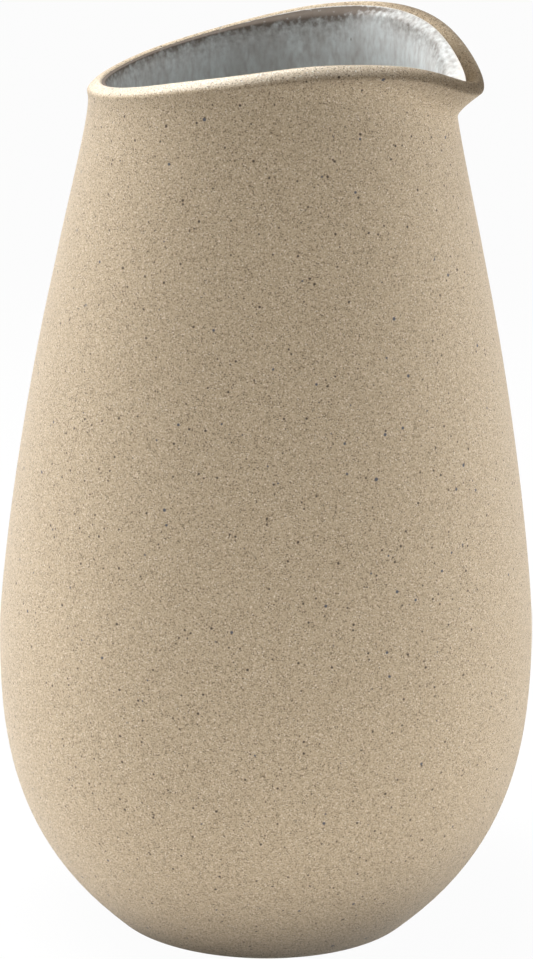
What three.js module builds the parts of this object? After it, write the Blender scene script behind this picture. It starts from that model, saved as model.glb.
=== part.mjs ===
// A handleless sauce pourer in stoneware: a full belly, a tapered neck, a rim that slopes up towards
// the front and one spout pulled out of it. The clay is bare outside and coated with glaze inside.
//
// Frame: millimetres, +Z up, the spout points along +X. The origin is the middle of the foot, on the
// surface that the pourer stands on.

import * as THREE from 'three';

// Outside of the body
const bellyRadius = 43;
const bellyHeight = 48;
const footRadius = 22.6;
const footEdgeRadius = 3;
const footEdgeSweep = THREE.MathUtils.degToRad(40);
const neckRadius = 34;
const neckHeight = 110;
const neckTaper = THREE.MathUtils.degToRad(12.6);

// How far each end of the two body curves runs along its tangent before it bends away
const footPull = 21.7;
const underBellyPull = 17.5;
const overBellyPull = 7.3;
const neckPull = 26.7;

// Clay
const wall = 3.2;
const floorThickness = 4.5;
const heelRadius = 9;
const recessRadius = 17.5;
const recessDepth = 1;

// Rim: the mean height of its crest, the slope up to the front and the droop of the front half. The
// lip is a little thinner than the wall.
const rimHeight = 144.8;
const rimSlopeRise = 5.4;
const rimFrontDroop = 0.9;
const lipThickness = 2.6;
const lipOuterHeight = 1.5;
const lipInnerHeight = 0.6;
const lipInnerDrop = 0.75;
const lipInnerWidth = 0.8;

// Spout: how far the rim is pulled out and down at the tip, and how quickly that fades to each side
const spoutReach = 6.3;
const spoutDip = 8.1;
const spoutHalfAngle = THREE.MathUtils.degToRad(22.2);
const shoulderFlare = 1.9;
const shoulderHalfAngle = THREE.MathUtils.degToRad(90);
const flareAngle = THREE.MathUtils.degToRad(58);
const throatRadius = 0.9;

// Ledge inside the lip: its width, how much wider it is at the spout's tip, the most of the rim's reach
// that it takes up, how far it falls for each millimetre of width and how much less at the tip. The
// wall under it is pulled out over some height.
const ledgeWidth = 0.86;
const ledgeTipGrowth = 2.3;
const ledgeShareOfReach = 0.9;
const ledgeFall = 1.35;
const ledgeTipLift = 1.25;
const ledgeRound = 0.7;
const pulledHeight = 12;

// Glaze coat on the inside, with a hair of clearance to the clay that it is fused to
const glazeThickness = 0.5;
const glazeClearance = 0.05;
const glazeBeadHeight = 0.2;

// Facets: steps round the pot, crowded towards the spout, and rows along each stretch of a section
const turnSteps = 56;
const spoutCrowding = 0.45;
const rows = {
  footEdge: 3,
  underBelly: 7,
  shoulder: 8,
  neck: 8,
  lipOuter: 5,
  lipInner: 3,
  ledge: 2,
  ledgeEdge: 3,
  inside: 6,
  heel: 3,
};

const clayMaterial = new THREE.MeshStandardMaterial({ color: 0xb7a488, roughness: 0.92, metalness: 0 });
const glazeMaterial = new THREE.MeshStandardMaterial({ color: 0xc3c9c8, roughness: 0.28, metalness: 0 });

// The two curves that make the outside of the body, from the foot's round edge to the foot of the neck
const footEdgeCentre = new THREE.Vector2(footRadius, footEdgeRadius);
const footEdgeEnd = new THREE.Vector2(
  footRadius + footEdgeRadius * Math.sin(footEdgeSweep),
  footEdgeRadius * (1 - Math.cos(footEdgeSweep)),
);
const belly = new THREE.Vector2(bellyRadius, bellyHeight);
const neckFoot = new THREE.Vector2(neckRadius, neckHeight);
const upNeck = new THREE.Vector2(-Math.sin(neckTaper), Math.cos(neckTaper));
const alongFoot = new THREE.Vector2(Math.cos(footEdgeSweep), Math.sin(footEdgeSweep));

const underBellyCurve = new THREE.CubicBezierCurve(
  footEdgeEnd,
  footEdgeEnd.clone().addScaledVector(alongFoot, footPull),
  new THREE.Vector2(bellyRadius, bellyHeight - underBellyPull),
  belly,
);
const shoulderCurve = new THREE.CubicBezierCurve(
  belly,
  new THREE.Vector2(bellyRadius, bellyHeight + overBellyPull),
  neckFoot.clone().addScaledVector(upNeck, -neckPull),
  neckFoot,
);

// A point that lies a given depth under the outside skin of one of those curves
function underSkin(curve, t, depth) {
  const tangent = curve.getTangent(t);
  return curve.getPoint(t).add(new THREE.Vector2(-tangent.y, tangent.x).multiplyScalar(depth));
}

// How strongly a pull at the spout is felt at an angle round the pot
function spoutPull(angle) {
  return 1 / (1 + (angle / spoutHalfAngle) ** 2);
}

function rimCrest(angle) {
  const slope = rimSlopeRise * Math.cos(angle) - rimFrontDroop * Math.cos(2 * angle);
  return rimHeight + slope - spoutDip * spoutPull(angle);
}

// The share of the shoulders, which reach much further round the pot than the spout does
function shoulderShare(angle) {
  return Math.exp(-((angle / shoulderHalfAngle) ** 4));
}

function rimReach(angle) {
  return spoutReach * spoutPull(angle) + shoulderFlare * shoulderShare(angle);
}

// The neck wall as a bent sheet of clay. Its middle follows the taper, then turns out by the flare
// angle where the rim's reach asks for it, so the throat lies deepest under the spout's tip. The
// point is a given depth under the outside skin, at a level counted up the wall to the mean rim.
const taperSlope = Math.tan(neckTaper);
const flareSlope = Math.tan(flareAngle);
const throatLean = flareSlope / 2 - taperSlope;
const throatBend = (flareSlope * (throatRadius + wall / 2)) / (2 * (1 + throatLean ** 2) ** 1.5);

function neckWall(depth, level, angle) {
  const crest = rimCrest(angle);
  const height = level + ((level - neckHeight) / (rimHeight - neckHeight)) * (crest - rimHeight);
  const aboveThroat = height - (crest - rimReach(angle) / flareSlope);
  const bend = Math.hypot(aboveThroat, throatBend);
  const flare = (flareSlope * (aboveThroat + bend)) / 2;
  const lean = (flareSlope * (1 + aboveThroat / bend)) / 2 - taperSlope;
  const outward = new THREE.Vector2(1, -lean).normalize();
  const middle = new THREE.Vector2(
    neckRadius - taperSlope * (height - neckHeight) - (wall / 2) * Math.cos(neckTaper) + flare,
    height - (wall / 2) * Math.sin(neckTaper),
  );
  return middle.addScaledVector(outward, wall / 2 - depth);
}

// Evenly spaced values that leave out the first one, because the stretch before ends there
function steps(count, from, to) {
  return Array.from({ length: count }, (_, i) => from + ((to - from) * (i + 1)) / count);
}

// Where the inside wall runs into the round heel: the heel's centre lies a heel radius above the
// floor and a wall plus a heel radius under the outside skin
function findHeel() {
  const level = floorThickness + heelRadius;
  let low = 0;
  let high = 1;
  for (let i = 0; i < 40; i += 1) {
    const middle = (low + high) / 2;
    if (underSkin(underBellyCurve, middle, wall + heelRadius).y < level) low = middle;
    else high = middle;
  }
  return { t: high, centre: underSkin(underBellyCurve, high, wall + heelRadius) };
}

const heel = findHeel();

const lipOuterLevel = rimHeight - lipOuterHeight;

// The inner edge of the lip, where the glaze starts, lies deeper at the spout
function lipInnerLevel(angle) {
  return rimHeight - lipInnerHeight - lipInnerDrop * spoutPull(angle);
}

// The inside of the clay from the lip's inner edge to the foot of the neck: along the ledge, round its
// edge, and down a wall that leans out as far as the ledge asks for
function innerWall(angle) {
  const edge = neckWall(lipThickness, lipInnerLevel(angle), angle);
  const widest = ledgeWidth + ledgeTipGrowth * spoutPull(angle) ** 4;
  const room = ledgeShareOfReach * rimReach(angle);
  const width = (widest ** -4 + room ** -4) ** -0.25;
  const fall = width * (ledgeFall - ledgeTipLift * spoutPull(angle));
  const bend = new THREE.Vector2(edge.x - width, edge.y - fall);
  const straightAt = (height) => neckRadius - taperSlope * (height - neckHeight) - wall / Math.cos(neckTaper);
  const pulledOut = bend.x - straightAt(bend.y);
  const wallAt = (height) => {
    const share = Math.max(0, 1 - (bend.y - height) / pulledHeight);
    return new THREE.Vector2(straightAt(height) + pulledOut * share ** 2, height);
  };
  const cut = Math.min(ledgeRound, 0.45 * edge.distanceTo(bend));
  const ledgeEnd = bend.clone().lerp(edge, cut / edge.distanceTo(bend));
  const wallTop = wallAt(bend.y - cut);
  const ledgeEdge = new THREE.QuadraticBezierCurve(ledgeEnd, bend, wallTop);
  const neckEnd = neckHeight - wall * Math.sin(neckTaper);
  return [
    edge,
    ...steps(rows.ledge, 0, 1).map((t) => edge.clone().lerp(ledgeEnd, t)),
    ...steps(rows.ledgeEdge, 0, 1).map((t) => ledgeEdge.getPoint(t)),
    ...steps(rows.neck, 0, 1).map((t) => wallAt(wallTop.y + (neckEnd - wallTop.y) * t ** 1.3)),
  ];
}

// That inner wall moved a depth into the pot, square to itself
function coatOnWall(depth, angle) {
  const points = innerWall(angle);
  const below = points.at(-1).clone().addScaledVector(upNeck, -1);
  return points.map((point, i) => {
    const before = points[Math.max(i - 1, 0)];
    const after = points[i + 1] ?? below;
    const along = after.clone().sub(before).normalize();
    return point.clone().add(new THREE.Vector2(along.y, -along.x).multiplyScalar(depth));
  });
}

// The inside of the pot, from the lip's inner edge down to the middle of the floor, a depth off the clay
function insideSection(depth, angle) {
  const tangent = underBellyCurve.getTangent(heel.t);
  const heelTurn = Math.atan2(-tangent.x, tangent.y);
  const radius = heelRadius - depth;
  const onHeel = (turn) => heel.centre.clone()
    .add(new THREE.Vector2(Math.cos(turn), Math.sin(turn)).multiplyScalar(radius));
  return [
    ...coatOnWall(depth, angle),
    ...steps(rows.inside, 1, 0).map((t) => underSkin(shoulderCurve, t, wall + depth)),
    ...steps(rows.inside, 1, heel.t).map((t) => underSkin(underBellyCurve, t, wall + depth)),
    ...steps(rows.heel, heelTurn, -Math.PI / 2).map(onHeel),
    new THREE.Vector2(0, heel.centre.y - radius),
  ];
}

// The clay's section at one angle: under the foot, up the outside, over the lip, down the inside
function claySection(angle) {
  const onFootEdge = (turn) => footEdgeCentre.clone()
    .add(new THREE.Vector2(Math.sin(turn), -Math.cos(turn)).multiplyScalar(footEdgeRadius));
  const overLip = (turn) => neckWall(
    (lipThickness - lipInnerWidth) * (1 - Math.cos(turn)),
    lipOuterLevel + lipOuterHeight * Math.sin(turn),
    angle,
  );
  const edgeLevel = lipInnerLevel(angle);
  const insideLip = (turn) => neckWall(
    lipThickness - lipInnerWidth * (1 - Math.sin(turn)),
    edgeLevel + (rimHeight - edgeLevel) * Math.cos(turn),
    angle,
  );
  return [
    new THREE.Vector2(0, recessDepth),
    new THREE.Vector2(recessRadius - recessDepth, recessDepth),
    new THREE.Vector2(recessRadius, 0),
    new THREE.Vector2(footRadius, 0),
    ...steps(rows.footEdge, 0, footEdgeSweep).map(onFootEdge),
    ...steps(rows.underBelly, 0, 1).map((t) => underSkin(underBellyCurve, t, 0)),
    ...steps(rows.shoulder, 0, 1).map((t) => underSkin(shoulderCurve, t, 0)),
    ...steps(rows.neck, neckHeight, lipOuterLevel).map((level) => neckWall(0, level, angle)),
    ...steps(rows.lipOuter, 0, Math.PI / 2).map(overLip),
    ...steps(rows.lipInner, 0, Math.PI / 2).map(insideLip),
    ...insideSection(0, angle).slice(1),
  ];
}

// The glaze's section at one angle: out and up along the clay, over its rounded bead, back inside
function glazeSection(angle) {
  const back = insideSection(glazeClearance, angle);
  const face = insideSection(glazeClearance + glazeThickness, angle);
  const upLedge = back[0].clone().sub(back[1]).normalize();
  const bead = back[0].clone().lerp(face[0], 0.5).addScaledVector(upLedge, glazeBeadHeight);
  return [...back.reverse(), bead, ...face];
}

// Sweeps a section round the axis. Its first and last points lie on the axis, and the section may
// change with the angle. Each four-cornered facet is split by the diagonal that climbs with the
// angle, so the clay and the glaze that lies on it are split alike.
function sweepRound(sectionAt) {
  const turns = Array.from({ length: turnSteps }, (_, i) => {
    const even = (2 * Math.PI * i) / turnSteps;
    const angle = even - spoutCrowding * Math.sin(even);
    return angle > Math.PI ? angle - 2 * Math.PI : angle;
  });
  const sections = turns.map(sectionAt);
  const ringCount = sections[0].length - 2;
  const first = 0;
  const last = 1 + ringCount * turnSteps;
  const vertex = (ring, turn) => 1 + ring * turnSteps + (turn % turnSteps);

  const points = [new THREE.Vector3(0, 0, sections[0][0].y)];
  for (let ring = 0; ring < ringCount; ring += 1) {
    turns.forEach((angle, i) => {
      const { x: radius, y: height } = sections[i][ring + 1];
      points.push(new THREE.Vector3(radius * Math.cos(angle), radius * Math.sin(angle), height));
    });
  }
  points.push(new THREE.Vector3(0, 0, sections[0][ringCount + 1].y));

  const triangles = [];
  for (let i = 0; i < turnSteps; i += 1) {
    triangles.push(first, vertex(0, i + 1), vertex(0, i));
    for (let ring = 0; ring < ringCount - 1; ring += 1) {
      const corners = [vertex(ring, i), vertex(ring, i + 1), vertex(ring + 1, i + 1), vertex(ring + 1, i)];
      const rising = sections[i][ring + 2].y > sections[i][ring + 1].y;
      const [a, b, c, d] = rising ? corners : [...corners.slice(1), corners[0]];
      triangles.push(a, b, c, a, c, d);
    }
    triangles.push(vertex(ringCount - 1, i), vertex(ringCount - 1, i + 1), last);
  }

  const geometry = new THREE.BufferGeometry().setFromPoints(points);
  geometry.setIndex(triangles);
  geometry.computeVertexNormals();
  return geometry;
}

function namedMesh(name, geometry, material) {
  const mesh = new THREE.Mesh(geometry, material);
  mesh.name = name;
  return mesh;
}

const pourer = new THREE.Group();
pourer.name = 'sauce_pourer';
pourer.add(
  namedMesh('stoneware_body', sweepRound(claySection), clayMaterial),
  namedMesh('interior_glaze', sweepRound(glazeSection), glazeMaterial),
);

export default pourer;
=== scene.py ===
# %% [markdown]
# # A sauce pourer in bare stoneware
# The pourer is one pot of sand-coloured clay with a spout pulled out of its rim, and a coat of pale
# glaze inside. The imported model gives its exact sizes, so the scene starts by loading that model as a
# fixed frame. Everything made below sits in the same place, in metres.

# %% Load the frame
import math

import bpy
from mathutils import Matrix, Vector


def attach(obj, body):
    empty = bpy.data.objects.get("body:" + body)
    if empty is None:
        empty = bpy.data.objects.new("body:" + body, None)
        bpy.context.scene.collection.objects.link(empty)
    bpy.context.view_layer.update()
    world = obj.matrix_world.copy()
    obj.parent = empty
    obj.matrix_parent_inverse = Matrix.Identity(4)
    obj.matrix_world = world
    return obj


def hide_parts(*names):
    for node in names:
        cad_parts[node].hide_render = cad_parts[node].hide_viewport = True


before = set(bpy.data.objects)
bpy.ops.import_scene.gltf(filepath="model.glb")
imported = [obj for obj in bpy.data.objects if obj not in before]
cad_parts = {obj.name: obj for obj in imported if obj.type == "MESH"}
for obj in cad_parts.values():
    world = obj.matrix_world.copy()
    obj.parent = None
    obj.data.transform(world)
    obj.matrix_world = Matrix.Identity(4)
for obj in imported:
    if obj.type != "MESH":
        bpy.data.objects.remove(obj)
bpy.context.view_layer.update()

MM = 0.001
print("frame nodes:", sorted(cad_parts))

# %% [markdown]
# ## Camera
# The picture was taken with a long lens from a little above, so the pot's sides hardly converge.
# A camera could be placed by eye, but here its angle, distance and lens come from a fit to the pot's
# outline. It also leans by less than a degree, because the pot does so in the picture.

# %% Place the camera
image_height_pixels = 959
camera_azimuth = math.radians(14)
camera_elevation = math.radians(17.3)
camera_roll = math.radians(0.745)
camera_distance = 1.0
focal_pixels = 6237
pot_right_of_middle_pixels = 1.2
sensor_width_mm = 36
aim_height = 73.2 * MM


def direction_to(azimuth, elevation):
    """A direction from the pot: azimuth counted from in front, elevation from the horizon."""
    return Vector((
        math.sin(azimuth) * math.cos(elevation),
        -math.cos(azimuth) * math.cos(elevation),
        math.sin(elevation),
    ))


def add_object(name, data):
    made = bpy.data.objects.new(name, data)
    bpy.context.scene.collection.objects.link(made)
    return made


towards_camera = direction_to(camera_azimuth, camera_elevation)
camera_right = Vector((math.cos(camera_azimuth), math.sin(camera_azimuth), 0))
pixel_size = camera_distance / focal_pixels
aim = Vector((0, 0, aim_height)) - camera_right * pot_right_of_middle_pixels * pixel_size

camera_data = bpy.data.cameras.new("camera")
camera_data.sensor_width = sensor_width_mm
camera_data.lens = focal_pixels * sensor_width_mm / image_height_pixels
camera = add_object("camera", camera_data)
facing = towards_camera.to_track_quat("Z", "Y").to_matrix().to_4x4()
roll = Matrix.Rotation(camera_roll, 4, "Z")
camera.matrix_world = Matrix.Translation(aim + towards_camera * camera_distance) @ facing @ roll
bpy.context.scene.camera = camera
print("lens in mm:", round(camera_data.lens, 1), "pixel on the pot in mm:", round(pixel_size / MM, 3))

# %% [markdown]
# ## The outline of the body
# A potter shapes the side of the pot as one long curve, from a small foot, out over the full belly and
# in again to a straight tapered neck. A lathe or screw modifier could turn such a curve into a pot,
# but this rim changes all the way round, so the curve is kept as a formula and swept by hand later.
# Two cubic curves meet at the belly. Each point is a radius and a height.

# %% Body curves
belly_radius = 43 * MM
belly_height = 48 * MM
foot_radius = 22.6 * MM
foot_edge_radius = 3 * MM
foot_edge_sweep = math.radians(40)
neck_radius = 34 * MM
neck_height = 110 * MM
neck_taper = math.radians(12.6)
foot_pull = 21.7 * MM
under_belly_pull = 17.5 * MM
over_belly_pull = 7.3 * MM
neck_pull = 26.7 * MM

foot_edge_centre = Vector((foot_radius, foot_edge_radius))
foot_edge_end = foot_edge_centre + foot_edge_radius * Vector((
    math.sin(foot_edge_sweep), -math.cos(foot_edge_sweep)))
along_foot = Vector((math.cos(foot_edge_sweep), math.sin(foot_edge_sweep)))
up_neck = Vector((-math.sin(neck_taper), math.cos(neck_taper)))
belly = Vector((belly_radius, belly_height))
neck_foot = Vector((neck_radius, neck_height))
under_belly_curve = (
    foot_edge_end,
    foot_edge_end + along_foot * foot_pull,
    belly - Vector((0, under_belly_pull)),
    belly,
)
shoulder_curve = (
    belly,
    belly + Vector((0, over_belly_pull)),
    neck_foot - up_neck * neck_pull,
    neck_foot,
)


def curve_point(curve, t):
    a, b, c, d = curve
    s = 1 - t
    return a * s**3 + b * (3 * s * s * t) + c * (3 * s * t * t) + d * t**3


def curve_direction(curve, t):
    a, b, c, d = curve
    s = 1 - t
    return ((b - a) * (s * s) + (c - b) * (2 * s * t) + (d - c) * (t * t)).normalized()


def under_skin(curve, t, depth):
    """The point of a body curve that lies a given depth inside the outer skin."""
    direction = curve_direction(curve, t)
    return curve_point(curve, t) + Vector((-direction.y, direction.x)) * depth


print("belly across in mm:", 2 * belly_radius / MM, "neck across at its foot:", 2 * neck_radius / MM)

# %% [markdown]
# ## The rim and the pulled spout
# While the clay is soft, a finger draws the lip out and down in one place. That leaves a spout with a
# throat under it, and the rim rises from the back of the pot to the shoulders of the spout. Real lips
# are never quite even, so slow waves of a tenth of a millimetre go into the rim's height. The two
# shoulders beside the spout stand a little prouder, and the rim is a little high on its near side and
# low on its far side. The spout is at angle 0, and the near side has the angles below 0.

# %% Height and reach of the rim
rim_height = 144.8 * MM
rim_slope_rise = 5.4 * MM
rim_front_droop = 0.9 * MM
spout_reach = 5.4 * MM
spout_dip = 8.1 * MM
spout_half_angle = math.radians(22.2)
shoulder_flare = 1.9 * MM
shoulder_half_angle = math.radians(90)
shoulder_lift = 0.42 * MM
shoulder_lift_angle = math.radians(68)
shoulder_lift_spread = math.radians(22)
near_rim_lift = 0.35 * MM
far_rim_sag = 0.45 * MM
lip_waves = ((3, 0.6, 0.1 * MM), (7, 2.1, 0.06 * MM))


def waves_round(angle, waves):
    """A sum of waves, each with its count round the pot, its phase and its height."""
    return sum(height * math.sin(count * angle + phase) for count, phase, height in waves)


def spout_pull(angle):
    """1 in the middle of the spout, falling off to both sides."""
    return 1 / (1 + (angle / spout_half_angle) ** 2)


def shoulder_share(angle):
    """1 over the front half of the rim, and almost 0 at the back."""
    return math.exp(-((angle / shoulder_half_angle) ** 4))


def out_of_level(angle):
    """A little high on the near side, and low on the far side behind its middle."""
    if angle < 0:
        return -near_rim_lift * math.sin(angle)
    return far_rim_sag * min(0, math.sin(2 * angle))


def rim_crest(angle):
    slope = rim_slope_rise * math.cos(angle) - rim_front_droop * math.cos(2 * angle)
    from_shoulder = (abs(angle) - shoulder_lift_angle) / shoulder_lift_spread
    lift = shoulder_lift * math.exp(-(from_shoulder**2))
    hand_made = waves_round(angle, lip_waves) + out_of_level(angle)
    return rim_height + slope - spout_dip * spout_pull(angle) + lift + hand_made


def rim_reach(angle):
    return spout_reach * spout_pull(angle) + shoulder_flare * shoulder_share(angle)


back_and_spout = [round(rim_crest(angle) / MM, 1) for angle in (math.pi, 0)]
print("rim height in mm, back and spout:", back_and_spout)

# %% [markdown]
# The wall near the rim is treated as a bent sheet of even thickness. Its middle line follows the neck's
# taper and then turns outwards by as much as the rim reaches out at that angle. A hyperbola does that:
# it follows one straight line, bends, and follows another, and its bend is as round as the throat.

# %% Wall of the neck
wall = 3.2 * MM
flare_angle = math.radians(58)
throat_radius = 3.4 * MM

taper_slope = math.tan(neck_taper)
flare_slope = math.tan(flare_angle)
throat_lean = flare_slope / 2 - taper_slope
throat_bend = flare_slope * (throat_radius + wall / 2) / (2 * (1 + throat_lean**2) ** 1.5)


def throat_level(angle):
    return rim_crest(angle) - rim_reach(angle) / flare_slope


def neck_wall(depth, level, angle):
    """A point of the neck, a depth inside the outer skin, at a level counted up to the mean rim."""
    crest = rim_crest(angle)
    height = level + (level - neck_height) / (rim_height - neck_height) * (crest - rim_height)
    above_throat = height - throat_level(angle)
    bend = math.hypot(above_throat, throat_bend)
    flare = flare_slope * (above_throat + bend) / 2
    lean_out = flare_slope * (1 + above_throat / bend) / 2 - taper_slope
    outward = Vector((1, -lean_out)).normalized()
    middle = Vector((
        neck_radius - taper_slope * (height - neck_height) - wall / 2 * math.cos(neck_taper) + flare,
        height - wall / 2 * math.sin(neck_taper),
    ))
    return middle + outward * (wall / 2 - depth)


print("throat under the spout, height in mm:", round(throat_level(0) / MM, 1))

# %% [markdown]
# ## The ledge inside the rim
# Inside, the lip ends in a narrow ledge with a soft edge, which widens at the tip of the spout. Below
# it the wall is steep again, but it leans out towards the spout, because the pull stretched all of
# the clay there. A sheet of even thickness can't show that, so the inside of the neck gets a line of
# its own: along the ledge, round its edge, and down the wall to the foot of the neck.

# %% Ledge and inner wall
lip_thickness = 2.6 * MM
lip_inner_height = 0.6 * MM
lip_inner_drop = 0.75 * MM
lip_shoulder_drop = 0.35 * MM
ledge_width = 0.86 * MM
ledge_tip_growth = 2.3 * MM
ledge_share_of_reach = 0.9
ledge_fall = 1.35
ledge_tip_lift = 1.25
ledge_round = 0.7 * MM
ledge_round_share = 0.45
first_ledge_row = 0.22
ledge_edge_rows = 5
pulled_height = 12 * MM
inner_wall_rows = 12
inner_wall_crowding = 1.3


def evenly(count, start, end):
    """Evenly spaced values after start, the last of which is end."""
    return [start + (end - start) * (i + 1) / count for i in range(count)]


def soft_least(first, second):
    """The lesser of two lengths, with a soft change from one to the other."""
    return (first**-4 + second**-4) ** -0.25


def lip_inner_level(angle):
    drop = lip_inner_drop * spout_pull(angle) + lip_shoulder_drop * shoulder_share(angle)
    return rim_height - lip_inner_height - drop


def straight_inside(height):
    return neck_radius - taper_slope * (height - neck_height) - wall / math.cos(neck_taper)


def inner_wall(angle):
    """Points down the clay's inside, from the inner edge of the lip to the foot of the neck."""
    edge = neck_wall(lip_thickness, lip_inner_level(angle), angle)
    widest = ledge_width + ledge_tip_growth * spout_pull(angle) ** 4
    width = soft_least(widest, ledge_share_of_reach * rim_reach(angle))
    bend = edge - Vector((width, width * (ledge_fall - ledge_tip_lift * spout_pull(angle))))
    pulled_out = bend.x - straight_inside(bend.y)

    def wall_at(height):
        share = max(0, 1 - (bend.y - height) / pulled_height)
        return Vector((straight_inside(height) + pulled_out * share**2, height))

    cut = min(ledge_round, ledge_round_share * (edge - bend).length)
    ledge_end = bend + (edge - bend).normalized() * cut
    wall_top = wall_at(bend.y - cut)
    points = [edge, edge.lerp(ledge_end, first_ledge_row), ledge_end]
    for t in evenly(ledge_edge_rows, 0, 1):
        points.append(ledge_end * (1 - t) ** 2 + bend * (2 * t * (1 - t)) + wall_top * t**2)
    neck_end = neck_height - wall * math.sin(neck_taper)
    for t in evenly(inner_wall_rows, 0, 1):
        points.append(wall_at(wall_top.y + (neck_end - wall_top.y) * t**inner_wall_crowding))
    return points


print("points down the inner wall:", len(inner_wall(0)))

# %% [markdown]
# ## Sections
# A section is the line that a cut through the pot would show on one side of its axis. The clay's
# section runs under the foot, up the outside, over the rounded lip and down the inside to the middle
# of the floor. Rows are set closer where the form turns quickly: at the foot, the throat and the lip.
# The lip's outer roll is tighter beside the spout, where the pull has stretched it. The glaze lies on
# the inside, so the inner line is also wanted a little further into the pot.

# %% Heel above the floor
floor_thickness = 4.5 * MM
heel_radius = 9 * MM
halving_steps = 40


def find_heel():
    """Where the inner wall runs into the round heel above the floor, by halving."""
    low, high = 0.0, 1.0
    for _ in range(halving_steps):
        middle = (low + high) / 2
        if under_skin(under_belly_curve, middle, wall + heel_radius).y < floor_thickness + heel_radius:
            low = middle
        else:
            high = middle
    return high, under_skin(under_belly_curve, high, wall + heel_radius)


heel_t, heel_centre = find_heel()
print("heel starts", round(heel_centre.x / MM, 1), "mm from the axis")

# %% Inside of the pot
edge_taper = (0.4, 0.5, 0.65, 0.8, 0.9)
inside_shoulder_rows = 9
inside_belly_rows = 8
heel_rows = 5
floor_rows = 4


def coat_on_wall(depth, angle):
    """The inner wall's points, moved into the pot, square to the wall, and less so near the lip."""
    points = inner_wall(angle)
    ends = [points[0], *points, points[-1] - up_neck * MM]
    moved = []
    for row, (before, point, after) in enumerate(zip(ends, points, ends[2:])):
        along = (after - before).normalized()
        share = edge_taper[row] if row < len(edge_taper) else 1
        moved.append(point + Vector((along.y, -along.x)) * depth * share)
    return moved


def inside_section(depth, angle):
    """Down the inside, from the lip's inner edge to the middle of the floor, a depth off the clay."""
    direction = curve_direction(under_belly_curve, heel_t)
    heel_turn = math.atan2(-direction.x, direction.y)
    radius = heel_radius - depth
    from_skin = wall + depth
    shoulder_steps = evenly(inside_shoulder_rows, 1, 0)
    belly_steps = evenly(inside_belly_rows, 1, heel_t)
    section = coat_on_wall(depth, angle)
    section += [under_skin(shoulder_curve, t, from_skin) for t in shoulder_steps]
    section += [under_skin(under_belly_curve, t, from_skin) for t in belly_steps]
    for turn in evenly(heel_rows, heel_turn, -math.pi / 2):
        section.append(heel_centre + Vector((math.cos(turn), math.sin(turn))) * radius)
    floor_level = heel_centre.y - radius
    section += [Vector((r, floor_level)) for r in evenly(floor_rows, heel_centre.x, 0)]
    return section


print("points down the inside:", len(inside_section(0, 0)))

# %% Foot and lip
recess_radius = 17.5 * MM
recess_depth = 1 * MM
recess_row_gap = 0.6 * MM
foot_row_gap = 0.8 * MM
lip_roll_height = 1.05 * MM
lip_roll_thinning = 0.4
thin_roll_half_angle = math.radians(55)
lip_inner_width = 0.8 * MM
foot_edge_rows = 5


def lip_roll(angle):
    """How far below the crest the lip's outer roll starts: less beside the spout."""
    return lip_roll_height * (1 - lip_roll_thinning * math.exp(-((angle / thin_roll_half_angle) ** 4)))


def over_lip(turn, angle):
    depth = (lip_thickness - lip_inner_width) * (1 - math.cos(turn))
    return neck_wall(depth, rim_height - lip_roll(angle) * (1 - math.sin(turn)), angle)


def inside_lip(turn, angle):
    depth = lip_thickness - lip_inner_width * (1 - math.sin(turn))
    edge_level = lip_inner_level(angle)
    return neck_wall(depth, edge_level + (rim_height - edge_level) * math.cos(turn), angle)


def foot_section():
    """Under the foot, from the axis out over the recess and the ring, and round the ring's edge."""
    recess_edge = recess_radius - recess_depth
    recess_rows = (0, recess_edge / 2, recess_edge - recess_row_gap, recess_edge)
    ring_rows = (recess_radius, recess_radius + recess_row_gap, foot_radius - foot_row_gap, foot_radius)
    section = [Vector((radius, recess_depth)) for radius in recess_rows]
    section += [Vector((radius, 0)) for radius in ring_rows]
    for turn in evenly(foot_edge_rows, 0, foot_edge_sweep):
        section.append(foot_edge_centre + Vector((math.sin(turn), -math.cos(turn))) * foot_edge_radius)
    return section


print("points under the foot:", len(foot_section()))

# %% Clay section
plain_neck_share = 0.62
body_rows = 12
plain_neck_rows = 5
throat_rows = 14
lip_outer_rows = 7
lip_inner_rows = 5


def clay_section(angle):
    section = foot_section()
    for curve in (under_belly_curve, shoulder_curve):
        section += [curve_point(curve, t) for t in evenly(body_rows, 0, 1)]
    throat_start = neck_height + plain_neck_share * (rim_height - neck_height)
    levels = evenly(plain_neck_rows, neck_height, throat_start)
    levels += evenly(throat_rows, throat_start, rim_height - lip_roll(angle))
    section += [neck_wall(0, level, angle) for level in levels]
    section += [over_lip(turn, angle) for turn in evenly(lip_outer_rows, 0, math.pi / 2)]
    section += [inside_lip(turn, angle) for turn in evenly(lip_inner_rows, 0, math.pi / 2)]
    return section + inside_section(0, angle)[1:]


print("points in the clay's section:", len(clay_section(0)))

# %% [markdown]
# ## Sweeping the sections into a mesh
# Blender's Spin and Screw tools repeat one section, and this pot needs a new one at each angle. So a
# small helper asks for the section at every angle and joins neighbours with four-sided faces. The
# angles crowd towards the spout, where the form bends most. One level of Subdivision Surface then
# rounds the mesh off, which is why the rows above can stay few.

# %% Sweep helper
turn_steps = 96
spout_crowding = 0.45


def turn_angles():
    angles = []
    for i in range(turn_steps):
        even = 2 * math.pi * i / turn_steps
        angle = even - spout_crowding * math.sin(even)
        angles.append(angle - 2 * math.pi if angle > math.pi else angle)
    return angles


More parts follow.
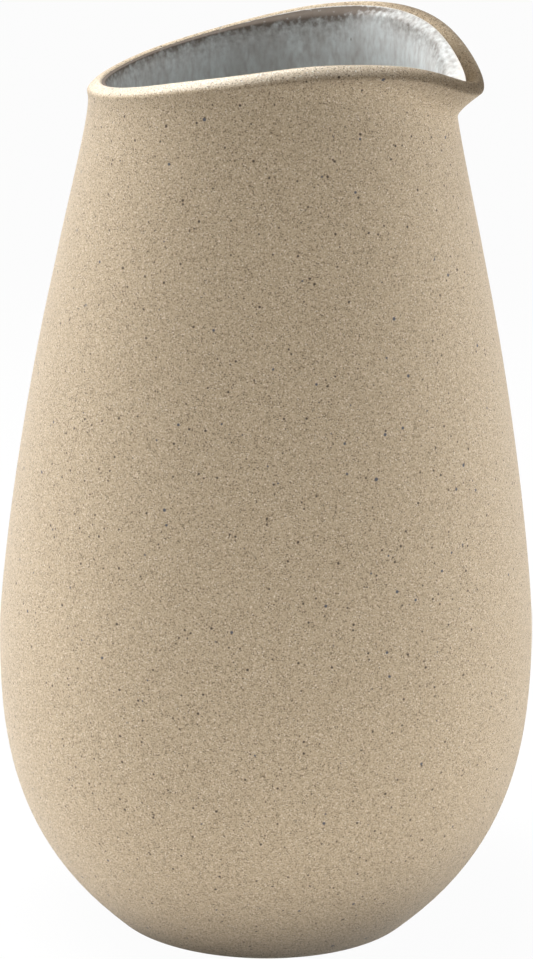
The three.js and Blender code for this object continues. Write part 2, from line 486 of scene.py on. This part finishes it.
def sweep_round(name, section_at):
    """A closed mesh from sections whose first and last points lie on the axis."""
    angles = turn_angles()
    sections = [section_at(angle) for angle in angles]
    rings = len(sections[0]) - 2
    points = [(0, 0, sections[0][0].y)]
    for ring in range(rings):
        for angle, section in zip(angles, sections):
            radius, height = section[ring + 1]
            points.append((radius * math.cos(angle), radius * math.sin(angle), height))
    points.append((0, 0, sections[0][-1].y))

    faces = []
    last = len(points) - 1
    for i in range(turn_steps):
        j = (i + 1) % turn_steps
        faces.append((0, 1 + j, 1 + i))
        for ring in range(rings - 1):
            below, above = 1 + ring * turn_steps, 1 + (ring + 1) * turn_steps
            faces.append((below + i, below + j, above + j, above + i))
        top = 1 + (rings - 1) * turn_steps
        faces.append((top + i, top + j, last))

    mesh = bpy.data.meshes.new(name)
    mesh.from_pydata(points, [], faces)
    mesh.shade_smooth()
    print(name, "has", len(points), "points and", len(faces), "faces")
    return add_object(name, mesh)


def round_off(piece):
    smooth = piece.modifiers.new("round off", "SUBSURF")
    smooth.levels = 1
    smooth.render_levels = 1


print("steps beside the spout in degrees:", round(math.degrees(turn_angles()[1]), 2))

# %% [markdown]
# ## The stoneware body
# The body is one piece of clay from the foot to the tip of the spout. It stands for the plain solid of
# the frame, which is hidden, and it rides on the frame's one body, so it can never drift from it.

# %% Make the stoneware body
stoneware_shell = sweep_round("stoneware_shell", clay_section)
round_off(stoneware_shell)
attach(stoneware_shell, "root")
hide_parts("stoneware_body")

# %% [markdown]
# A potter smooths the lip with a wet leather. That presses the coarse grains in and leaves a skin of
# fine clay. The paler colour that the same mark gives is partly that skin and partly a painted
# highlight on the crest of the near lip, and both mostly fade out towards the far side and the back.
# The rows of the mesh know how near to the lip they are, so the mark is stored on its points as a
# number from 0 to 1.
# The numbers are chosen for the rows over the lip, from the outside in, once for the spout and once for
# the rest of the rim, and blended between.

# %% Row helpers
def store_rows(piece, name, first_row, rows_at):
    """Stores a number on each point of some rows; rows_at gives the rows' numbers at an angle."""
    marks = piece.data.attributes.new(name, "FLOAT", "POINT").data
    for i, angle in enumerate(turn_angles()):
        for row, number in enumerate(rows_at(angle)):
            marks[1 + (first_row + row) * turn_steps + i].value = number


def rise(value, start, end):
    """0 up to the start, 1 from the end on, and a straight line between them."""
    return min(1, max(0, (value - start) / (end - start)))


def blend_rows(first, second, share):
    return [a + (b - a) * share for a, b in zip(first, second)]


print("for 4, a rise from 3 to 5 stands at", rise(4, 3, 5))

# %% Mark the smooth skin and painted highlight of the lip
skin_and_highlight_outside_spout = (0, 0, 0, 0, 0.1, 0.25, 0.4)
skin_and_highlight_outside_back = (0, 0, 0.4, 0.9, 1, 1, 1)
skin_and_highlight_inside_spout = (0.4, 0.2, 0, 0, 0)
skin_and_highlight_inside_back = (1, 1, 1, 0.8, 0.6)
far_skin_highlight_degrees = (45, 70)
near_skin_highlight_degrees = (25, 60)
inside_skin_highlight_degrees = (80, 110)
skin_fade_share = 0.8
far_skin_fade_degrees = (70, 105)
near_skin_fade_degrees = (158, 180)


def skin_and_highlight_rows(angle):
    turn = math.degrees(abs(angle))
    on_far_side = angle > 0
    outside = rise(turn, *(far_skin_highlight_degrees if on_far_side else near_skin_highlight_degrees))
    skin_faded = skin_fade_share * rise(turn, *(far_skin_fade_degrees if on_far_side else near_skin_fade_degrees))
    rows = blend_rows(skin_and_highlight_outside_spout, skin_and_highlight_outside_back, outside)
    rows += blend_rows(skin_and_highlight_inside_spout, skin_and_highlight_inside_back, rise(turn, *inside_skin_highlight_degrees))
    return [row * (1 - skin_faded) for row in rows]


lip_end = len(clay_section(0)) - len(inside_section(0, 0))
store_rows(stoneware_shell, "smooth_lip_and_highlight", lip_end - len(skin_and_highlight_rows(0)), skin_and_highlight_rows)
print("rows with smooth skin:", len(skin_and_highlight_rows(0)))

# %% [markdown]
# Round the spout and under the roll of the lip the clay is darker. Under the roll and on the tip of the
# spout this darkening is painted shade, and on the lip's inner band beside the spout it is clay that
# the kiln has toasted. That is stored in the same way, from a few rows below the roll to the inner edge
# of the lip. At the tip of the spout it covers the whole lip, at the shoulders it lies under the roll
# and on the inside, and it fades towards the back.

# %% Mark the toasted lip and the painted shade under its roll
# Rows under the roll and over the spout's tip hold painted shade; the inner rows hold kiln toasting.
toast_and_shade_at_spout = (0.05, 0.12, 0.2, 0.3, 0.7, 0.8, 0.85, 0.9, 0.95, 1, 1, 1, 1, 1, 1, 1)
toast_and_shade_at_shoulder = (0.04, 0.12, 0.24, 0.38, 0.48, 0.52, 0.52, 0.42, 0.22, 0.06, 0, 0, 0, 0, 0, 0)
toast_inside_shoulder = (0.86, 0.86, 0.74, 0.56, 0.42, 0.36)
toast_and_shade_for_pull = 1.6
paler_beside_tip = 0.17
beside_tip_degrees = (5, 16)
shoulder_fade_degrees = (60, 108)
inside_fade_degrees = (54, 70)
near_inside_share = 0.45


def toast_and_shade_rows(angle):
    turn = math.degrees(abs(angle))
    beside_tip = rise(turn, *beside_tip_degrees)
    spout_share = min(1, toast_and_shade_for_pull * spout_pull(angle)) * (1 - paler_beside_tip * beside_tip)
    fade = 1 - rise(turn, *shoulder_fade_degrees)
    rows = blend_rows([row * fade for row in toast_and_shade_at_shoulder], toast_and_shade_at_spout, spout_share)
    inside_share = 1 - rise(turn, *inside_fade_degrees)
    if angle < 0:
        inside_share *= near_inside_share
    first_inside = len(rows) - len(toast_inside_shoulder)
    for row, toast in enumerate(toast_inside_shoulder, first_inside):
        rows[row] = max(rows[row], inside_share * toast)
    return rows


store_rows(stoneware_shell, "toast_and_painted_shade", lip_end - len(toast_and_shade_rows(0)), toast_and_shade_rows)
print("rows with toasted clay:", len(toast_and_shade_rows(0)))

# %% [markdown]
# ## The glaze coat
# Glaze is poured into the pot, swirled and emptied out. It stays as a skin of glass about half a
# millimetre thick, ends in a round bead just inside the lip and runs a little as it melts, so its
# face has soft upright waves. The coat could be only a colour on the clay, but as a mesh of its own
# its bead catches the light.

# %% Make the glaze coat
glaze_thickness = 0.5 * MM
glaze_clearance = 0.05 * MM
glaze_bead_height = 0.15 * MM
glaze_bead_bulge = 0.05 * MM
glaze_waves = ((23, 0.4, 0.015 * MM), (37, 1.9, 0.0105 * MM))
glaze_face = glaze_clearance + glaze_thickness
bead_rows = 4


def bead(turn, angle):
    edge, next_point = inner_wall(angle)[:2]
    along = (next_point - edge).normalized()
    square = Vector((along.y, -along.x))
    thick = glaze_thickness * edge_taper[0] + glaze_bead_bulge * math.sin(turn / 2) ** 2
    off_clay = glaze_clearance + thick * math.sin(turn / 2) ** 2
    return edge + square * off_clay - along * glaze_bead_height * math.sin(turn)


def glaze_section(angle):
    section = inside_section(glaze_clearance, angle)[::-1]
    section += [bead(turn, angle) for turn in evenly(bead_rows, 0, math.pi)]
    return section + inside_section(glaze_face + waves_round(angle, glaze_waves), angle)[1:]


glaze_coat = sweep_round("glaze_coat", glaze_section)
round_off(glaze_coat)
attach(glaze_coat, "root")
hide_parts("interior_glaze")

# %% [markdown]
# Where glaze lies thin, on the ledge and its edge and most of all under the far rim, the brown clay
# shows through; under the far rim that brown is partly painted shade beneath the bead. In the bead and
# at the tip of the spout the glaze lies thick and turns white, and that white is partly a painted
# highlight. The rows of the mesh know where they are on the ledge, so both are stored on its points as
# numbers from 0 to 1.

# %% Mark the thin glaze with painted shade and the thick glaze with painted highlight
thin_at_tip = (0.2, 0.25, 0.25, 0.25, 0.28, 0.32, 0.34, 0.3, 0.15, 0.03)
thin_at_spout = (0.35, 0.35, 0.3, 0.35, 0.4, 0.42, 0.38, 0.25, 0.1, 0.05)
thin_at_shoulder = (0.7, 0.7, 0.5, 0.4, 0.3, 0.25, 0.2, 0.12, 0.08, 0.04)
# Under the far rim this brown is partly painted shade beneath the bead.
thin_and_shade_at_back = (1, 1, 1, 0.95, 0.85, 0.7, 0.5, 0.3, 0.2, 0.1)
spout_thin_degrees = (8, 24)
shoulder_thin_degrees = (52, 64)
back_thin_degrees = (64, 80)
thin_in_white_bead = 0.4
thin_in_brown_bead = 0.8
brown_bead_degrees = (100, 128)
thick_and_highlight_in_bead = 0.6
# The white at the bead and the tip is partly thick glaze and partly a painted highlight.
thick_and_highlight_at_tip = (0.8, 0.5)
tip_end_degrees = (6, 20)


def bead_white_and_highlight_share(turn):
    return 1 - rise(turn, *brown_bead_degrees)


def at_very_tip(turn):
    return 1 - rise(turn, *tip_end_degrees)


def thin_and_shade_rows(angle):
    turn = math.degrees(abs(angle))
    ledge = blend_rows(thin_at_tip, thin_at_spout, rise(turn, *spout_thin_degrees))
    ledge = blend_rows(ledge, thin_at_shoulder, rise(turn, *shoulder_thin_degrees))
    ledge = blend_rows(ledge, thin_and_shade_at_back, rise(turn, *back_thin_degrees))
    white = bead_white_and_highlight_share(turn)
    on_bead = thin_in_brown_bead * (1 - white) + thin_in_white_bead * white * (1 - at_very_tip(turn))
    return [on_bead] * bead_rows + ledge


def thick_and_highlight_rows(angle):
    turn = math.degrees(abs(angle))
    tip = at_very_tip(turn)
    on_bead = bead_white_and_highlight_share(turn) * (thick_and_highlight_in_bead + (1 - thick_and_highlight_in_bead) * tip)
    return [on_bead] * bead_rows + [row * tip for row in thick_and_highlight_at_tip]


first_bead_row = len(inside_section(0, 0)) - 1
store_rows(glaze_coat, "thin_glaze_and_painted_shade", first_bead_row, thin_and_shade_rows)
store_rows(glaze_coat, "thick_glaze_and_painted_highlight", first_bead_row, thick_and_highlight_rows)
print("marked rows on the glaze:", len(thin_and_shade_rows(0)))

# %% [markdown]
# ## The stoneware finish
# Bare stoneware is matte and sandy. Looked at closely it is a mix of grains a seventh of a millimetre
# across, most of them near one tone, a few lighter and a few darker. A Voronoi texture fits, because
# it cuts space into cells, and its Color output gives each cell its own random numbers. A ramp then
# says what share of the cells gets which tone. Object coordinates in metres keep the grain at its real
# size.

# %% Node helpers
def new_material(name):
    material = bpy.data.materials.new(name)
    material.use_nodes = True
    return material, material.node_tree, material.node_tree.nodes["Principled BSDF"]


def add_node(tree, kind, **settings):
    node = tree.nodes.new(kind)
    for key, value in settings.items():
        setattr(node, key, value)
    return node


def add_cells(tree, place, size):
    cells = add_node(tree, "ShaderNodeTexVoronoi")
    cells.inputs["Scale"].default_value = 1 / size
    tree.links.new(place, cells.inputs["Vector"])
    return cells


def cell_numbers(tree, cells):
    """Three random numbers for each cell, by the names Red, Green and Blue."""
    numbers = add_node(tree, "ShaderNodeSeparateColor")
    tree.links.new(cells.outputs["Color"], numbers.inputs["Color"])
    return numbers.outputs


clay, clay_tree, clay_shader = new_material("bare_stoneware")
clay_place = add_node(clay_tree, "ShaderNodeTexCoord").outputs["Object"]
print("the clay's material starts with", len(clay_tree.nodes), "nodes")

# %% Colour helpers
def from_srgb(red, green, blue):
    """A colour as a picture's 0 to 255 values, turned into the linear light that nodes use."""
    linear = []
    for level in (red / 255, green / 255, blue / 255):
        linear.append(level / 12.92 if level < 0.04045 else ((level + 0.055) / 1.055) ** 2.4)
    return (*linear, 1)


def add_ramp(tree, value, stops):
    """Turns a number into a colour. Each stop is a number and the colour that it gets."""
    ramp = add_node(tree, "ShaderNodeValToRGB")
    elements = ramp.color_ramp.elements
    while len(elements) > 1:
        elements.remove(elements[-1])
    elements[0].position, elements[0].color = stops[0]
    for position, colour in stops[1:]:
        elements.new(position).color = colour
    tree.links.new(value, ramp.inputs["Fac"])
    return ramp.outputs["Color"]


print("a middle grey of 128 is", round(from_srgb(128, 128, 128)[0], 3), "in linear light")

# %% Grain of the clay
grain_size = 0.14 * MM
grain_numbers = cell_numbers(clay_tree, add_cells(clay_tree, clay_place, grain_size))
grain_tones = [
    (0.0, from_srgb(98, 83, 65)),
    (0.07, from_srgb(132, 114, 90)),
    (0.2, from_srgb(176, 156, 127)),
    (0.5, from_srgb(190, 170, 141)),
    (0.85, from_srgb(201, 182, 153)),
    (0.97, from_srgb(218, 201, 176)),
    (1.0, from_srgb(236, 224, 204)),
]
grain_colour = add_ramp(clay_tree, grain_numbers["Red"], grain_tones)
print("clay grains in mm:", round(grain_size / MM, 2), "in", len(grain_tones), "tones")

# %% [markdown]
# Iron in the clay burns out as dark specks. They are rarer and larger than the grains, so they get a
# coarser Voronoi texture of their own. Its distance output is a round dot in each cell, and the
# cell's random number decides how large the dot is and whether there is one at all. Brown specks come
# first, and then rarer ones as grey as slate.

# %% Helpers for ranges and covers
def map_range(tree, value, source, target, interpolation="LINEAR"):
    """Spreads a number over a range: the two values of source become those of target."""
    node = add_node(tree, "ShaderNodeMapRange", interpolation_type=interpolation)
    for socket, number in zip(("From Min", "From Max", "To Min", "To Max"), (*source, *target)):
        node.inputs[socket].default_value = number
    tree.links.new(value, node.inputs["Value"])
    return node.outputs["Result"]


def add_math(tree, operation, first, second):
    node = add_node(tree, "ShaderNodeMath", operation=operation)
    tree.links.new(first, node.inputs[0])
    tree.links.new(second, node.inputs[1])
    return node.outputs["Value"]


def lay_over(tree, factor, under, colour, **settings):
    """Lays a colour over the colour under, as strongly as the factor says."""
    mix = add_node(tree, "ShaderNodeMix", data_type="RGBA", **settings)
    mix.inputs["B"].default_value = colour
    tree.links.new(factor, mix.inputs["Factor"])
    tree.links.new(under, mix.inputs["A"])
    return mix.outputs["Result"]


print("clay before the specks:", len(clay_tree.nodes), "nodes")

# %% Iron specks
speck_softness = 0.08 * MM
iron_brown = from_srgb(82, 67, 54)
slate_grey = from_srgb(92, 90, 96)


def add_specks(under, colour, spacing, largest, share):
    """Dots over the colour under: one to a cell of the given spacing, in a share of the cells."""
    cells = add_cells(clay_tree, clay_place, spacing)
    number = cell_numbers(clay_tree, cells)["Green"]
    reach = map_range(clay_tree, number, (1 - share, 1), (0, largest / spacing))
    inside = add_math(clay_tree, "SUBTRACT", reach, cells.outputs["Distance"])
    dot = map_range(clay_tree, inside, (0, speck_softness / spacing), (0, 1), "SMOOTHSTEP")
    return lay_over(clay_tree, dot, under, colour)


with_iron = add_specks(grain_colour, iron_brown, spacing=1.1 * MM, largest=0.26 * MM, share=0.65)
with_slate = add_specks(with_iron, slate_grey, spacing=2.3 * MM, largest=0.34 * MM, share=0.5)
print("clay with specks:", len(clay_tree.nodes), "nodes")

# %% [markdown]
# At the lip the marks come in. The Attribute node reads a number from the mesh, and a Mix node set to
# Multiply makes the clay paler for the smooth skin and its painted highlight, or darker for the toasted
# rim and its painted shade. Laying one colour over it would be simpler, but that would hide the grains,
# and multiplying keeps them.

# %% Colour of the lip
# The pale tone is partly the smooth skin and partly a painted highlight on the near lip's crest.
skin_and_highlight_tone = (1.55, 1.66, 1.86, 1)
# The dark tone is partly kiln toasting and partly painted shade under the roll and on the spout's tip.
toast_and_shade_tone = (0.2, 0.185, 0.165, 1)


def read_mark(tree, name):
    return add_node(tree, "ShaderNodeAttribute", attribute_name=name).outputs["Fac"]


def change_tone(under, mark, tone):
    """Multiplies the colour under by a tone, where the mesh has the mark."""
    return lay_over(clay_tree, mark, under, tone, blend_type="MULTIPLY", clamp_result=True)


skin_and_highlight_mark = read_mark(clay_tree, "smooth_lip_and_highlight")
toast_and_shade_mark = read_mark(clay_tree, "toast_and_painted_shade")
# Paler on the smooth skin, partly as painted highlight; darker on the toasted rim, partly as painted
# shade.
with_skin_and_highlight = change_tone(with_slate, skin_and_highlight_mark, skin_and_highlight_tone)
with_toast_and_shade = change_tone(with_skin_and_highlight, toast_and_shade_mark, toast_and_shade_tone)
clay_tree.links.new(with_toast_and_shade, clay_shader.inputs["Base Color"])
print("clay with the lip's colours:", len(clay_tree.nodes), "nodes")

# %% [markdown]
# The grains also stand up from the surface, and in side light that roughness shows more than their
# colour. A Bump node turns a height into shading. Its distance is a real length, here a tenth of a
# millimetre, and its height is a noise about as fine as the grains.

# %% Relief of the clay
clay_relief_size = 0.17 * MM
clay_relief_height = 0.09 * MM
clay_relief_strength = 0.75


def add_noise(tree, place, size, detail):
    noise = add_node(tree, "ShaderNodeTexNoise")
    noise.inputs["Scale"].default_value = 1 / size
    noise.inputs["Detail"].default_value = detail
    tree.links.new(place, noise.inputs["Vector"])
    return noise.outputs["Fac"]


def add_relief(tree, shader, pattern, height, strength):
    relief = add_node(tree, "ShaderNodeBump")
    relief.inputs["Strength"].default_value = strength
    relief.inputs["Distance"].default_value = height
    tree.links.new(pattern, relief.inputs["Height"])
    tree.links.new(relief.outputs["Normal"], shader.inputs["Normal"])


clay_pattern = add_noise(clay_tree, clay_place, clay_relief_size, detail=2)
add_relief(clay_tree, clay_shader, clay_pattern, clay_relief_height, clay_relief_strength)
print("clay relief in mm:", round(clay_relief_height / MM, 2))

# %% [markdown]
# Bare clay is matte, some grains more than others, and has a faint dusty sheen. The smooth skin of the
# lip shines a little instead, and where the toast and painted shade lie the clay has lost its dust and
# most of its shine. The same marks on the mesh set all three.

# %% Shine of the clay
grain_roughness = (0.66, 0.86)
skin_roughness = 0.42
clay_shine = 0.4
skin_shine = 1
toast_and_shade_shine_share = 0.1
clay_dust = 0.2
dust_roughness = 0.5


def mix_numbers(tree, factor, under, number):
    """Moves a number towards another one, as far as the factor says."""
    mix = add_node(tree, "ShaderNodeMix", data_type="FLOAT")
    mix.inputs["B"].default_value = number
    tree.links.new(factor, mix.inputs["Factor"])
    tree.links.new(under, mix.inputs["A"])
    return mix.outputs["Result"]


clay_roughness = map_range(clay_tree, grain_numbers["Blue"], (0, 1), grain_roughness)
lip_roughness = mix_numbers(clay_tree, skin_and_highlight_mark, clay_roughness, skin_roughness)
lip_shine = map_range(clay_tree, skin_and_highlight_mark, (0, 1), (clay_shine, skin_shine))
shine_left = map_range(clay_tree, toast_and_shade_mark, (0, 1), (1, toast_and_shade_shine_share))
dull_shine = add_math(clay_tree, "MULTIPLY", lip_shine, shine_left)
dust = map_range(clay_tree, toast_and_shade_mark, (0, 1), (clay_dust, 0))
clay_tree.links.new(lip_roughness, clay_shader.inputs["Roughness"])
clay_tree.links.new(dull_shine, clay_shader.inputs["Specular IOR Level"])
clay_tree.links.new(dust, clay_shader.inputs["Sheen Weight"])
clay_shader.inputs["Sheen Roughness"].default_value = dust_roughness
stoneware_shell.data.materials.append(clay)
print("clay finish:", len(clay_tree.nodes), "nodes")

# %% [markdown]
# ## The glaze finish
# The glaze is a milky white glass with a little blue-green in it. It runs down as it melts, so it is
# mottled in fine upright streaks. Stretching a noise texture along the height gives those: the place
# is scaled so that the pattern changes slowly upwards and quickly round the pot. A second, much
# coarser noise lets whole patches lean towards a brownish grey.

# %% Streaks of the glaze
glaze, glaze_tree, glaze_shader = new_material("inside_glaze")
glaze_place = add_node(glaze_tree, "ShaderNodeTexCoord").outputs["Object"]
run_squeeze = 0.38
streak_size = 0.8 * MM
streak_tones = [
    (0.3, from_srgb(208, 207, 205)),
    (0.45, from_srgb(222, 224, 222)),
    (0.58, from_srgb(230, 234, 233)),
    (0.7, from_srgb(237, 241, 240)),
]
patch_size = 5 * MM
patch_limits = (0.48, 0.68)
patch_strength = 0.28
patch_grey = from_srgb(168, 158, 150)

run_down = add_node(glaze_tree, "ShaderNodeMapping")
run_down.inputs["Scale"].default_value = (1, 1, run_squeeze)
glaze_tree.links.new(glaze_place, run_down.inputs["Vector"])
run_place = run_down.outputs["Vector"]
streaks = add_noise(glaze_tree, run_place, streak_size, detail=4)
streaked = add_ramp(glaze_tree, streaks, streak_tones)
patches = add_noise(glaze_tree, run_place, patch_size, detail=2)
patch_cover = map_range(glaze_tree, patches, patch_limits, (0, patch_strength), "SMOOTHSTEP")
patchy = lay_over(glaze_tree, patch_cover, streaked, patch_grey)
print("streaks and patches in mm:", round(streak_size / MM, 1), round(patch_size / MM, 1))

# %% [markdown]
# Small iron spots have bled through the glaze and run down with it. They are made like the specks in
# the clay, as dots in the cells of a Voronoi texture, but in the stretched space, so they stand
# upright. Where the coat is thin, its colour moves towards the brown of the clay below, broken up by a
# noise; under the far rim that brown is partly painted shade. In the bead it turns white, partly as a
# painted highlight.

# %% Spots, thin glaze with painted shade, and bead with painted highlight
spot_spacing = 2.2 * MM
spot_radius = 0.16 * MM
spot_brown = from_srgb(116, 108, 102)
mottle_size = 0.8 * MM
# This brown is partly the clay below and partly painted shade under the far rim.
clay_showing_and_shade = from_srgb(94, 80, 67)
showing_limits = (0, 0.38)
showing_strength = 0.92
# This white is partly thick glaze and partly a painted highlight along the bead and at the tip.
bead_white_and_highlight = from_srgb(214, 205, 195)
bead_limits = (0.3, 0.9)
bead_strength = 0.7

spot_cells = add_cells(glaze_tree, run_place, spot_spacing)
spot_edge = (spot_radius / spot_spacing, 0)
spot_cover = map_range(glaze_tree, spot_cells.outputs["Distance"], spot_edge, (0, 1), "SMOOTHSTEP")
spotted = lay_over(glaze_tree, spot_cover, patchy, spot_brown)

thin_and_shade_mark = read_mark(glaze_tree, "thin_glaze_and_painted_shade")
mottle = add_noise(glaze_tree, glaze_place, mottle_size, detail=3)
broken = add_math(glaze_tree, "MULTIPLY", thin_and_shade_mark, mottle)
clay_and_shade_cover = map_range(glaze_tree, broken, showing_limits, (0, showing_strength), "SMOOTHSTEP")
browned_and_shaded = lay_over(glaze_tree, clay_and_shade_cover, spotted, clay_showing_and_shade)

thick_and_highlight_mark = read_mark(glaze_tree, "thick_glaze_and_painted_highlight")
bead_and_highlight_cover = map_range(glaze_tree, thick_and_highlight_mark, bead_limits, (0, bead_strength), "SMOOTHSTEP")
beaded = lay_over(glaze_tree, bead_and_highlight_cover, browned_and_shaded, bead_white_and_highlight)
glaze_tree.links.new(beaded, glaze_shader.inputs["Base Color"])
print("glaze spots in mm:", 2 * spot_radius / MM)

# %% [markdown]
# The glaze has a satin shine. Tiny pits and a soft unevenness break the reflections up, so a bump of
# a few hundredths of a millimetre goes on, and the roughness follows the same streaks. Where the coat
# is thin there is hardly any glass left, so there it is dull.

# %% Gloss of the glaze
pit_size = 0.9 * MM
pit_height = 0.06 * MM
pit_strength = 0.12
streak_roughness = (0.36, 0.5)
thin_roughness = 0.8
glass_shine = 0.5
thin_shine = 0.1

pits = add_noise(glaze_tree, glaze_place, pit_size, detail=2)
add_relief(glaze_tree, glaze_shader, pits, pit_height, pit_strength)
glass_roughness = map_range(glaze_tree, streaks, (0, 1), streak_roughness)
glaze_roughness = mix_numbers(glaze_tree, thin_and_shade_mark, glass_roughness, thin_roughness)
glaze_shine = map_range(glaze_tree, thin_and_shade_mark, (0, 1), (glass_shine, thin_shine))
glaze_tree.links.new(glaze_roughness, glaze_shader.inputs["Roughness"])
glaze_tree.links.new(glaze_shine, glaze_shader.inputs["Specular IOR Level"])
glaze_coat.data.materials.append(glaze)
print("glaze finish:", len(glaze_tree.nodes), "nodes")

# %% [markdown]
# ## Floor and background
# The pourer stands on a white studio floor that fills the picture. A diffuse white floor alone comes
# out grey, and more lamps would bleach the pot. So the floor's material asks the Light Path node
# what kind of ray it is: to the camera and in reflections it is almost plain white. To light on its
# way it is a sheet of paper, which bounces the lamps up under the belly. The sheet has painted shade
# beside the foot, a little to the right, on the side away from the main light, and it is dim far away.

# %% Floor
floor_reach = 3.0
floor_corners = [(x * floor_reach, y * floor_reach, 0) for x, y in ((-1, -1), (1, -1), (1, 1), (-1, 1))]
floor_mesh = bpy.data.meshes.new("studio_floor")
floor_mesh.from_pydata(floor_corners, [], [(0, 1, 2, 3)])
studio_floor = add_object("studio_floor", floor_mesh)
print("floor reaches", floor_reach, "m to each side")

# %% Paper that bounces the light
sheet_reach = 400 * MM
# The dark greys near the foot are painted shade in the light that the sheet bounces.
sheet_greys = ((26 * MM, 0.03), (40 * MM, 0.35), (56 * MM, 0.95), (200 * MM, 0.95), (400 * MM, 0.08))
shade_offset = 14 * MM

paper = bpy.data.materials.new("white_paper")
paper.use_nodes = True
paper_tree = paper.node_tree
paper_tree.nodes.clear()
paper_place = add_node(paper_tree, "ShaderNodeTexCoord").outputs["Object"]
from_shade = add_node(paper_tree, "ShaderNodeVectorMath", operation="DISTANCE")
from_shade.inputs[1].default_value = camera_right * shade_offset
paper_tree.links.new(paper_place, from_shade.inputs[0])
over_sheet = map_range(paper_tree, from_shade.outputs["Value"], (0, sheet_reach), (0, 1))
sheet_stops = [(far / sheet_reach, (grey, grey, grey, 1)) for far, grey in sheet_greys]
paper_matte = add_node(paper_tree, "ShaderNodeBsdfDiffuse")
paper_tree.links.new(add_ramp(paper_tree, over_sheet, sheet_stops), paper_matte.inputs["Color"])
print("paper that bounces light:", len(paper_tree.nodes), "nodes")

# %% White that the camera sees
plain_white_share = 0.97


def seen_directly(tree):
    """1 for rays from the camera, in reflections and through glass, and 0 for light on its way."""
    path = add_node(tree, "ShaderNodeLightPath").outputs
    seen = add_math(tree, "MAXIMUM", path["Is Camera Ray"], path["Is Glossy Ray"])
    return add_math(tree, "MAXIMUM", seen, path["Is Transmission Ray"])


paper_white = add_node(paper_tree, "ShaderNodeEmission")
white_share = map_range(paper_tree, seen_directly(paper_tree), (0, 1), (0, plain_white_share))
paper_mix = add_node(paper_tree, "ShaderNodeMixShader")
paper_tree.links.new(white_share, paper_mix.inputs["Fac"])
paper_tree.links.new(paper_matte.outputs["BSDF"], paper_mix.inputs[1])
paper_tree.links.new(paper_white.outputs["Emission"], paper_mix.inputs[2])
paper_out = add_node(paper_tree, "ShaderNodeOutputMaterial")
paper_tree.links.new(paper_mix.outputs["Shader"], paper_out.inputs["Surface"])
studio_floor.data.materials.append(paper)
print("paper:", len(paper_tree.nodes), "nodes")

# %% [markdown]
# The world is the room round the floor. It is white where it is seen, like the floor, and gives the pot
# only a little light, so that the lamps decide its shading.

# %% World
room_light = 0.06
world = bpy.data.worlds.new("studio")
bpy.context.scene.world = world
world.use_nodes = True
world_tree = world.node_tree
world_level = map_range(world_tree, seen_directly(world_tree), (0, 1), (room_light, 1))
world_background = world_tree.nodes["Background"]
world_background.inputs["Color"].default_value = (1, 1, 1, 1)
world_tree.links.new(world_level, world_background.inputs["Strength"])
print("room light:", room_light)

# %% [markdown]
# ## Lamps
# The pot is palest along its left edge, a little darker along its right edge, and darkest in between,
# so most of the light comes from the sides and from behind. The main light stands high at the left.
# The back light hangs almost overhead and behind, so it brightens the crest of the lip and can't reach
# the front. Low lights brighten both edges, and a small card by the floor opens up the lower belly. An
# area lamp's power follows from the brightness wanted on a white surface that faces it:
# power = level x pi^2 x distance^2.

# %% Place the lamps
lamp_distance = 0.9
card_distance = 0.22


def soft_light(name, azimuth, elevation, width, height, level, distance=lamp_distance):
    """An area lamp at angles counted from the camera's own azimuth and the horizon."""
    away = direction_to(camera_azimuth + math.radians(azimuth), math.radians(elevation))
    data = bpy.data.lights.new(name, "AREA")
    data.shape = "RECTANGLE"
    data.size, data.size_y = width, height
    data.energy = level * math.pi**2 * distance**2
    lamp = add_object(name, data)
    lamp.location = Vector((0, 0, aim_height)) + away * distance
    lamp.rotation_euler = away.to_track_quat("Z", "Y").to_euler()
    lamp.visible_camera = False
    print(name, "has", round(data.energy, 1), "W")


soft_light("high_left_light", azimuth=-97, elevation=56, width=0.5, height=0.5, level=0.77)
soft_light("back_light", azimuth=190, elevation=77, width=0.5, height=0.5, level=0.75)
soft_light("front_right_light", azimuth=35, elevation=48, width=0.5, height=0.5, level=0.07)
soft_light("left_light", azimuth=-75, elevation=30, width=0.4, height=0.25, level=0.1)
soft_light("behind_left_light", azimuth=-115, elevation=5, width=0.4, height=0.25, level=0.28)
soft_light("right_light", azimuth=66, elevation=7, width=0.4, height=0.3, level=0.43)
soft_light("behind_right_light", azimuth=115, elevation=5, width=0.4, height=0.25, level=0.37)
soft_light("left_card", azimuth=-50, elevation=-17, width=0.16, height=0.08, level=0.22,
           distance=card_distance)

# %% [markdown]
# ## View transform
# The colours should come out as they were written, so the view transform is Standard.

# %% Finish
bpy.context.scene.view_settings.view_transform = "Standard"
